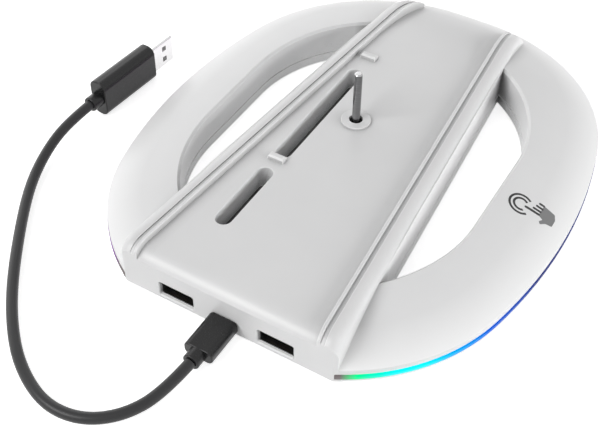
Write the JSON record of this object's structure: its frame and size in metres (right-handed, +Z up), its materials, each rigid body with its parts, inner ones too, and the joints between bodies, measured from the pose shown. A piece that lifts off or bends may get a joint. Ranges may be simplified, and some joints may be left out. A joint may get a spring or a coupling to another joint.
{
  "type": "vertical console stand",
  "caption": "Oval stand that holds a game console upright on a railed deck, with finger openings, a hub in the front face, a light strip round the rim and a short cable.",
  "frame": {"origin": "on the floor below the middle of the body, the cable left aside", "axes": "+Z up along the console screw, -Y towards the front face with the sockets, +X to its right side"},
  "size_m": [0.1886, 0.25, 0.0405],
  "materials": {
    "white_housing": "satin gloss",
    "light_guide": "frosted, lit from behind",
    "flex_circuit": "satin",
    "led_body": "gloss",
    "sensor_plate": "satin",
    "circuit_board": "satin",
    "zinc_steel": "zinc plated",
    "chip_black": "matt",
    "socket_metal": "nickel plated",
    "socket_black": "satin",
    "polished_steel": "polished",
    "plug_black": "satin",
    "cord_black": "satin",
    "insert_white": "satin",
    "foot_rubber": "matt"
  },
  "bodies": {
    "stand": {"top_shell": "white_housing", "bottom_cover": "white_housing", "light_strip": "light_guide", "led_flex": "flex_circuit", "leds": "led_body", "touch_pad": "sensor_plate", "hub_board": "circuit_board", "board_screws": "zinc_steel", "hub_chip": "chip_black", "light_chip": "chip_black", "usb_a_left_shell": "socket_metal", "usb_a_right_shell": "socket_metal", "usb_a_left_tongue": "socket_black", "usb_a_right_tongue": "socket_black", "usb_c_socket_shell": "socket_metal", "usb_c_socket_tongue": "socket_black", "housing_screws": "zinc_steel", "usb_c_plug_body": "plug_black", "usb_c_plug_shell": "socket_metal", "usb_c_plug_collar": "plug_black", "power_cord": "cord_black", "usb_a_plug_collar": "plug_black", "usb_a_plug_body": "plug_black", "usb_a_plug_shell": "socket_metal", "usb_a_plug_insert": "insert_white", "foot_front_left": "foot_rubber", "foot_front_right": "foot_rubber", "foot_back_left": "foot_rubber", "foot_back_right": "foot_rubber"},
    "console_screw": {"console_screw": "polished_steel"}
  },
  "joints": [
    {"name": "console_screw_turn", "type": "hinge", "parent": "stand", "child": "console_screw", "pos_m": [-0.0046, -0.00165, 0.0183], "axis": [0, 0, 1], "continuous": true}
  ]
}
